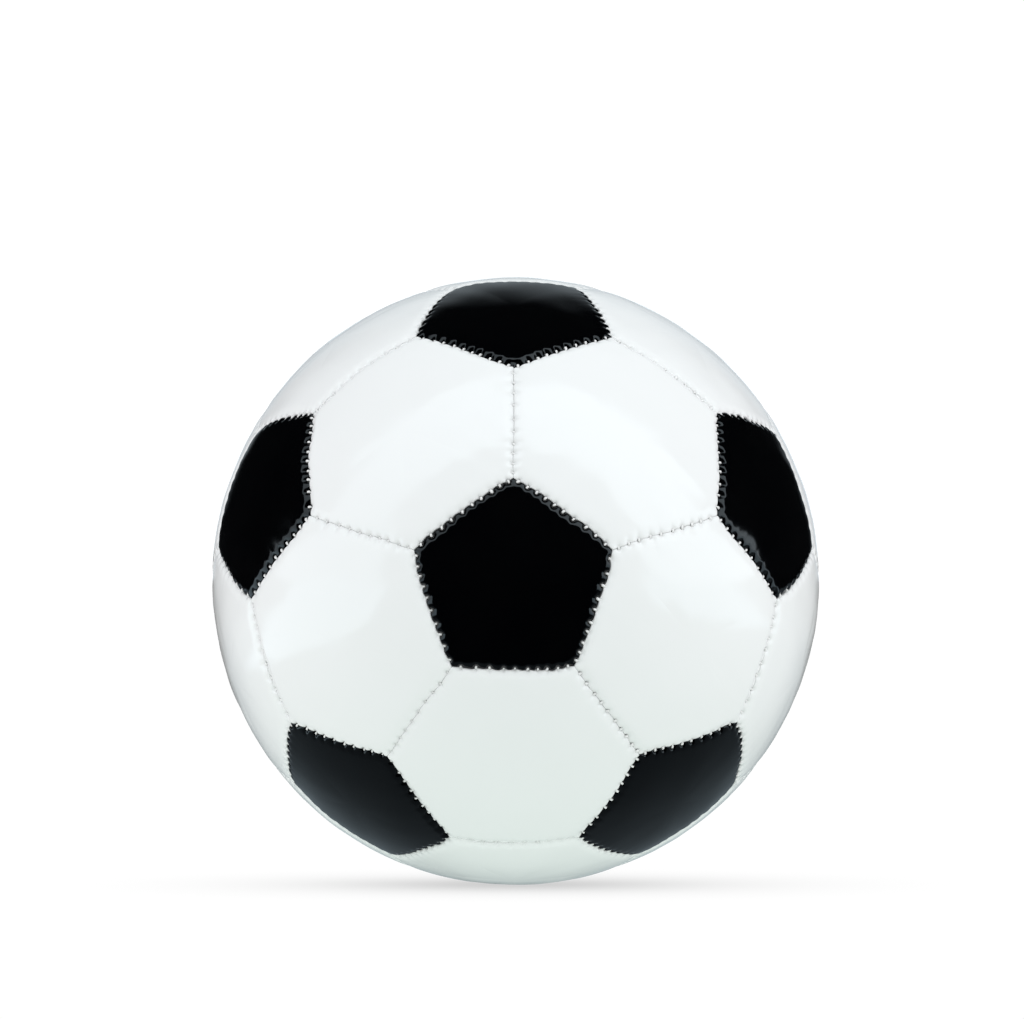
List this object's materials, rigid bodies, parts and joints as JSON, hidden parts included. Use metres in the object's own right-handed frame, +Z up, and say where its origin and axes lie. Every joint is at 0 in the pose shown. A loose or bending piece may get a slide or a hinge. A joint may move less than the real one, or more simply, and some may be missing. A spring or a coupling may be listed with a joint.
{
  "type": "soccer ball",
  "caption": "Round stitched ball of glossy black pentagon and white hexagon panels over padding and a bladder, with an inflation valve.",
  "frame": {"origin": "centre of the ball", "axes": "-Y out through the middle of the front pentagon, +Z up through a corner of it; the valve's axis points up and back in the plane X = 0"},
  "size_m": [0.215, 0.215, 0.215],
  "materials": {
    "black_skin": "glossy black PVC sheet",
    "white_skin": "glossy white PVC sheet",
    "foam": "open-cell foam",
    "lining_cloth": "woven cloth, two plies",
    "thread": "waxed polyester thread",
    "bladder_rubber": "moulded butyl rubber",
    "valve_rubber": "moulded butyl rubber"
  },
  "bodies": {
    "root": {"pentagon_panel_front": "black_skin", "pentagon_panel_near_1": "black_skin", "pentagon_panel_near_2": "black_skin", "pentagon_panel_near_3": "black_skin", "pentagon_panel_near_4": "black_skin", "pentagon_panel_near_5": "black_skin", "pentagon_panel_far_1": "black_skin", "pentagon_panel_far_2": "black_skin", "pentagon_panel_far_3": "black_skin", "pentagon_panel_far_4": "black_skin", "pentagon_panel_far_5": "black_skin", "pentagon_panel_back": "black_skin", "hexagon_panel_front_1": "white_skin", "hexagon_panel_front_2": "white_skin", "hexagon_panel_front_3": "white_skin", "hexagon_panel_front_4": "white_skin", "hexagon_panel_front_5": "white_skin", "hexagon_panel_near_1": "white_skin", "hexagon_panel_near_2": "white_skin", "hexagon_panel_near_3": "white_skin", "hexagon_panel_near_4": "white_skin", "hexagon_panel_near_5": "white_skin", "hexagon_panel_far_1": "white_skin", "hexagon_panel_far_2": "white_skin", "hexagon_panel_far_3": "white_skin", "hexagon_panel_far_4": "white_skin", "hexagon_panel_far_5": "white_skin", "hexagon_panel_back_2": "white_skin", "hexagon_panel_back_3": "white_skin", "hexagon_panel_back_4": "white_skin", "hexagon_panel_back_5": "white_skin", "valve_panel": "white_skin", "pentagon_pads": "foam", "hexagon_pads": "foam", "valve_panel_pad": "foam", "pentagon_linings": "lining_cloth", "hexagon_linings": "lining_cloth", "valve_panel_lining": "lining_cloth", "pentagon_seam_threads": "thread", "hexagon_seam_threads": "thread", "valve_patch": "lining_cloth", "bladder": "bladder_rubber", "valve_sleeve": "valve_rubber", "valve_plug": "valve_rubber"}
  },
  "joints": []
}
